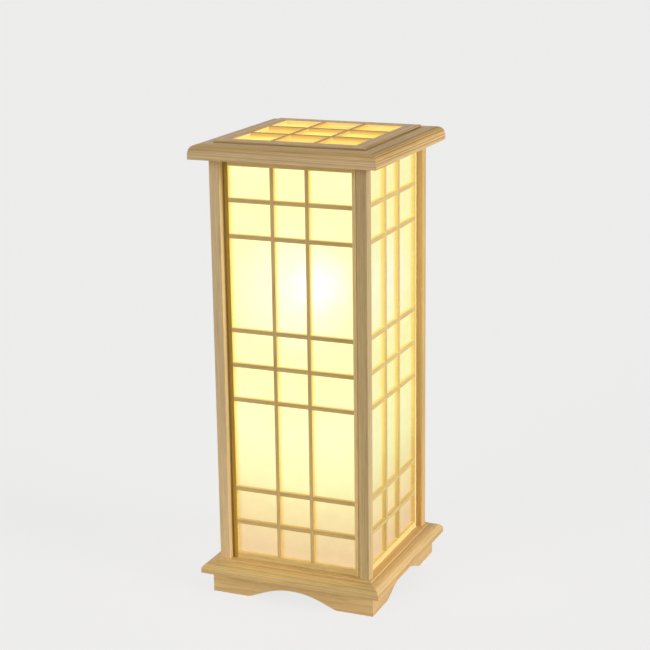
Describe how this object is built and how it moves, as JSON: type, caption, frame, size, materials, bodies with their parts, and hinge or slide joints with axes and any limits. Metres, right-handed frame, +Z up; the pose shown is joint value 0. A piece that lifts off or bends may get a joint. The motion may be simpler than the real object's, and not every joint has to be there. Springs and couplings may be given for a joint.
{
  "type": "andon floor lamp",
  "caption": "Square wooden andon floor lamp: latticed light box on a moulded base with arched feet, lift-off moulded roof, lampholder and bulb inside.",
  "frame": {"origin": "centre of the footprint on the floor, under the feet of the plinth", "axes": "+Z up, -Y out of the front panel, +X to the right of someone who faces the front"},
  "size_m": [0.25, 0.25, 0.6],
  "materials": {
    "moulding_wood": "pale pine, satin lacquer",
    "post_wood": "pale pine, satin lacquer",
    "lattice_wood": "pale pine, satin lacquer",
    "hidden_wood": "planed pale pine, unlacquered",
    "board": "pale plywood",
    "side_sheets": "translucent white sheet, matt",
    "roof_sheet": "translucent white sheet, matt",
    "pipe": "white enamel",
    "flange": "white enamel",
    "nuts": "plain",
    "screws": "zinc plated",
    "bush": "black, moulded",
    "lampholder": "white, moulded",
    "insulator": "white, moulded",
    "brass_contacts": "plain",
    "bulb_cap": "rolled, bright",
    "bulb_collar": "white, moulded",
    "bulb_globe": "opal"
  },
  "bodies": {
    "lamp": {"back_backing_frame": "hidden_wood", "back_base_moulding": "moulding_wood", "back_lattice_crossbars": "lattice_wood", "back_lattice_frame": "lattice_wood", "back_lattice_uprights": "lattice_wood", "back_left_post": "post_wood", "back_plinth_board": "moulding_wood", "back_right_post": "post_wood", "back_sheet": "side_sheets", "board_screws": "screws", "bottom_board": "board", "cable_bush": "bush", "corner_blocks": "hidden_wood", "flange_screws": "screws", "front_backing_frame": "hidden_wood", "front_base_moulding": "moulding_wood", "front_lattice_crossbars": "lattice_wood", "front_lattice_frame": "lattice_wood", "front_lattice_uprights": "lattice_wood", "front_left_post": "post_wood", "front_plinth_board": "moulding_wood", "front_right_post": "post_wood", "front_sheet": "side_sheets", "lamp_pipe": "pipe", "lampholder_contact": "brass_contacts", "lampholder_cup": "lampholder", "lampholder_insulator": "insulator", "lampholder_screw_shell": "brass_contacts", "lampholder_skirt": "lampholder", "left_backing_frame": "hidden_wood", "left_base_moulding": "moulding_wood", "left_lattice_crossbars": "lattice_wood", "left_lattice_frame": "lattice_wood", "left_lattice_uprights": "lattice_wood", "left_plinth_board": "moulding_wood", "left_sheet": "side_sheets", "lock_nuts": "nuts", "pipe_flange": "flange", "right_backing_frame": "hidden_wood", "right_base_moulding": "moulding_wood", "right_lattice_crossbars": "lattice_wood", "right_lattice_frame": "lattice_wood", "right_lattice_uprights": "lattice_wood", "right_plinth_board": "moulding_wood", "right_sheet": "side_sheets"},
    "roof": {"back_roof_moulding": "moulding_wood", "batten_screws": "screws", "front_roof_moulding": "moulding_wood", "left_roof_moulding": "moulding_wood", "right_roof_moulding": "moulding_wood", "roof_bars_front_back": "lattice_wood", "roof_bars_left_right": "lattice_wood", "roof_battens": "hidden_wood", "roof_sheet": "roof_sheet"},
    "bulb": {"bulb_cap": "bulb_cap", "bulb_collar": "bulb_collar", "bulb_globe": "bulb_globe"}
  },
  "joints": [
    {"name": "roof_lift", "type": "slide", "parent": "lamp", "child": "roof", "axis": [0, 0, 1], "range_m": [0, 0.12]},
    {"name": "bulb_lift", "type": "slide", "parent": "lamp", "child": "bulb", "axis": [0, 0, 1], "range_m": [0, 0.05]}
  ]
}
